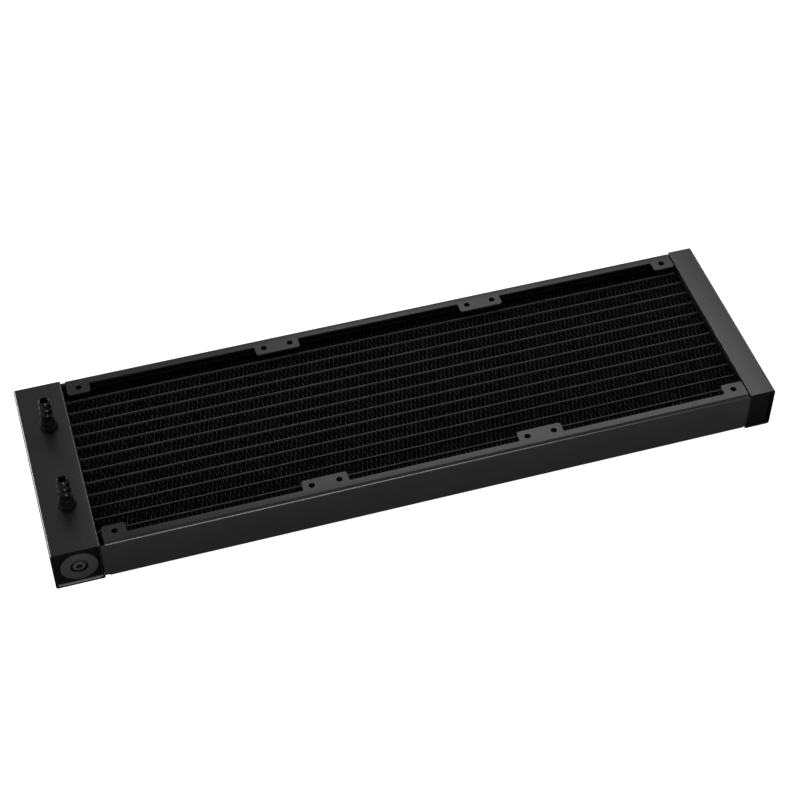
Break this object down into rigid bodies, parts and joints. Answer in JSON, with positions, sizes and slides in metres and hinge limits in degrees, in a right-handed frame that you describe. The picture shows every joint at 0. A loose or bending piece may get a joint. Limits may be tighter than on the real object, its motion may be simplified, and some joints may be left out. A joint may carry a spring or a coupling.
{
  "type": "liquid cooling radiator",
  "caption": "Long flat black radiator that cools liquid: a finned core between end tanks, with hose barbs on the wide tank and tabbed side rails for fans.",
  "frame": {"origin": "middle of the bottom face of the radiator's bounding box", "axes": "+X along the length from the wide tank with the hose barbs to the return tank, +Z through the thickness towards the barbs' ends, -Y towards the side of the pressure relief port"},
  "size_m": [0.402, 0.12, 0.0478],
  "materials": {
    "black_paint": "satin black powder coat on aluminium",
    "core_paint": "thin matt black spray coat on aluminium",
    "black_anodised": "black anodised",
    "relief_grey": "matt charcoal",
    "bare_aluminium": "mill finish",
    "rubber": "matt black"
  },
  "bodies": {
    "root": {"wide_tank_shell": "black_paint", "wide_header_plate": "black_paint", "wide_tank_near_cap": "black_paint", "wide_tank_far_cap": "black_paint", "wide_tank_baffle": "bare_aluminium", "return_tank_shell": "black_paint", "return_header_plate": "black_paint", "return_tank_near_cap": "black_paint", "return_tank_far_cap": "black_paint", "flat_tube_01": "core_paint", "flat_tube_02": "core_paint", "flat_tube_03": "core_paint", "flat_tube_04": "core_paint", "flat_tube_05": "core_paint", "flat_tube_06": "core_paint", "flat_tube_07": "core_paint", "flat_tube_08": "core_paint", "flat_tube_09": "core_paint", "flat_tube_10": "core_paint", "flat_tube_11": "core_paint", "flat_tube_12": "core_paint", "fin_strip_01": "core_paint", "fin_strip_02": "core_paint", "fin_strip_03": "core_paint", "fin_strip_04": "core_paint", "fin_strip_05": "core_paint", "fin_strip_06": "core_paint", "fin_strip_07": "core_paint", "fin_strip_08": "core_paint", "fin_strip_09": "core_paint", "fin_strip_10": "core_paint", "fin_strip_11": "core_paint", "fin_strip_12": "core_paint", "fin_strip_13": "core_paint", "core_side_channel_near": "core_paint", "core_side_channel_far": "core_paint", "frame_rail_near": "black_paint", "frame_rail_far": "black_paint", "inlet_hose_fitting": "black_anodised", "inlet_fitting_seal": "rubber", "inlet_fitting_boss": "bare_aluminium", "outlet_hose_fitting": "black_anodised", "outlet_fitting_seal": "rubber", "outlet_fitting_boss": "bare_aluminium", "relief_disc": "relief_grey", "vent_plug": "black_anodised", "relief_gasket": "rubber", "relief_lock_nut": "bare_aluminium", "relief_bladder": "rubber"}
  },
  "joints": []
}
